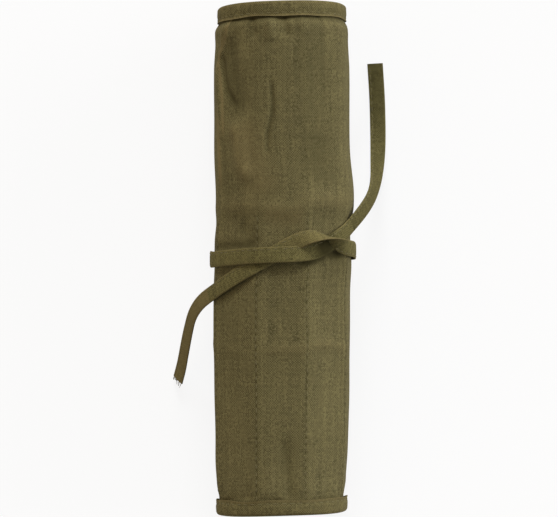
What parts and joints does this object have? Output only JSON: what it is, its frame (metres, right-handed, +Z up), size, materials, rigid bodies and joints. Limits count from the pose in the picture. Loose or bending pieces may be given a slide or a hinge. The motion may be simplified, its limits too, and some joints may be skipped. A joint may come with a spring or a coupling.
{
  "type": "brush roll",
  "caption": "Rolled canvas brush roll with sewn pockets, bound hems and a knotted tie strap; it unrolls flat along its seams.",
  "frame": {"origin": "on the table, under the middle of the tied roll and its two tails", "axes": "+Y along the roll towards the open pocket ends, +Z up, +X towards the side that unrolls"},
  "size_m": [0.1563, 0.37, 0.1054],
  "materials": {
    "canvas": "olive cotton canvas, matte plain weave",
    "pocket": "lighter olive cotton, matte",
    "binding": "olive cotton binding, matte",
    "tie": "folded and edge-stitched olive cotton strap"
  },
  "bodies": {
    "panel_01": {"canvas_01": "canvas", "pocket_01": "pocket", "top_binding_01": "binding", "bottom_binding_01": "binding", "tie_band_01": "tie"},
    "panel_02": {"canvas_02": "canvas", "pocket_02": "pocket", "top_binding_02": "binding", "bottom_binding_02": "binding", "tie_band_02": "tie"},
    "panel_03": {"canvas_03": "canvas", "pocket_03": "pocket", "top_binding_03": "binding", "bottom_binding_03": "binding", "tie_band_03": "tie"},
    "panel_04": {"canvas_04": "canvas", "pocket_04": "pocket", "top_binding_04": "binding", "bottom_binding_04": "binding", "tie_right_over": "tie", "tie_right_under": "tie"},
    "panel_05": {"canvas_05": "canvas", "pocket_05": "pocket", "top_binding_05": "binding", "bottom_binding_05": "binding", "tie_left_over": "tie", "tie_left_under": "tie"},
    "panel_06": {"canvas_06": "canvas", "pocket_06": "pocket", "top_binding_06": "binding", "bottom_binding_06": "binding", "tie_band_06": "tie", "tie_left_slope": "tie"},
    "panel_07": {"canvas_07": "canvas", "pocket_07": "pocket", "top_binding_07": "binding", "bottom_binding_07": "binding", "tie_band_07": "tie"},
    "panel_08": {"canvas_08": "canvas", "pocket_08": "pocket", "top_binding_08": "binding", "bottom_binding_08": "binding", "tie_band_08": "tie"},
    "panel_09": {"canvas_09": "canvas", "pocket_09": "pocket", "top_binding_09": "binding", "bottom_binding_09": "binding"},
    "panel_10": {"canvas_10": "canvas", "pocket_10": "pocket", "top_binding_10": "binding", "bottom_binding_10": "binding"},
    "panel_11": {"canvas_11": "canvas", "pocket_11": "pocket", "top_binding_11": "binding", "bottom_binding_11": "binding"},
    "panel_12": {"canvas_12": "canvas", "top_binding_12": "binding", "bottom_binding_12": "binding"},
    "right_tail": {"right_tail": "tie"},
    "left_tail": {"left_tail": "tie"}
  },
  "joints": [
    {"name": "unroll", "type": "hinge", "parent": "panel_01", "child": "panel_02", "pos_m": [0.02082, 0, 0], "axis": [0, 1, 0], "range_deg": [0, 38.7]},
    {"name": "seam_02", "type": "hinge", "parent": "panel_02", "child": "panel_03", "pos_m": [0.049, 0, 0.03181], "axis": [0, 1, 0], "range_deg": [0, 55.17]},
    {"name": "seam_03", "type": "hinge", "parent": "panel_03", "child": "panel_04", "pos_m": [0.04613, 0, 0.07421], "axis": [0, 1, 0], "range_deg": [0, 43.71]},
    {"name": "seam_04", "type": "hinge", "parent": "panel_04", "child": "panel_05", "pos_m": [0.01919, 0, 0.09884], "axis": [0, 1, 0], "range_deg": [0, 41.22]},
    {"name": "seam_05", "type": "hinge", "parent": "panel_05", "child": "panel_06", "pos_m": [-0.0163, 0, 0.09959], "axis": [0, 1, 0], "range_deg": [0, 44.19]},
    {"name": "seam_06", "type": "hinge", "parent": "panel_06", "child": "panel_07", "pos_m": [-0.04448, 0, 0.07336], "axis": [0, 1, 0], "range_deg": [0, 48.21]},
    {"name": "seam_07", "type": "hinge", "parent": "panel_07", "child": "panel_08", "pos_m": [-0.0437, 0, 0.03486], "axis": [0, 1, 0], "range_deg": [0, 50.03]},
    {"name": "seam_08", "type": "hinge", "parent": "panel_08", "child": "panel_09", "pos_m": [-0.01448, 0, 0.01135], "axis": [0, 1, 0], "range_deg": [0, 49.86]},
    {"name": "seam_09", "type": "hinge", "parent": "panel_09", "child": "panel_10", "pos_m": [0.01938, 0, 0.01795], "axis": [0, 1, 0], "range_deg": [0, 50.51]},
    {"name": "seam_10", "type": "hinge", "parent": "panel_10", "child": "panel_11", "pos_m": [0.03583, 0, 0.04828], "axis": [0, 1, 0], "range_deg": [0, 52.1]},
    {"name": "seam_11", "type": "hinge", "parent": "panel_11", "child": "panel_12", "pos_m": [0.02281, 0, 0.07806], "axis": [0, 1, 0], "range_deg": [0, 54.09]},
    {"name": "right_tail_swing", "type": "hinge", "parent": "panel_03", "child": "right_tail", "pos_m": [0.04844, 0, 0.07346], "axis": [0, -1, 0], "range_deg": [0, 60]},
    {"name": "left_tail_swing", "type": "hinge", "parent": "panel_07", "child": "left_tail", "pos_m": [-0.04675, 0, 0.07234], "axis": [0, 1, 0], "range_deg": [0, 60]}
  ],
  "couplings": [
    {"joint": "seam_02", "follows": "unroll", "ratio": 1.4253},
    {"joint": "seam_03", "follows": "unroll", "ratio": 1.1292},
    {"joint": "seam_04", "follows": "unroll", "ratio": 1.0647},
    {"joint": "seam_05", "follows": "unroll", "ratio": 1.1414},
    {"joint": "seam_06", "follows": "unroll", "ratio": 1.2453},
    {"joint": "seam_07", "follows": "unroll", "ratio": 1.2923},
    {"joint": "seam_08", "follows": "unroll", "ratio": 1.288},
    {"joint": "seam_09", "follows": "unroll", "ratio": 1.3048},
    {"joint": "seam_10", "follows": "unroll", "ratio": 1.3458},
    {"joint": "seam_11", "follows": "unroll", "ratio": 1.3971}
  ]
}
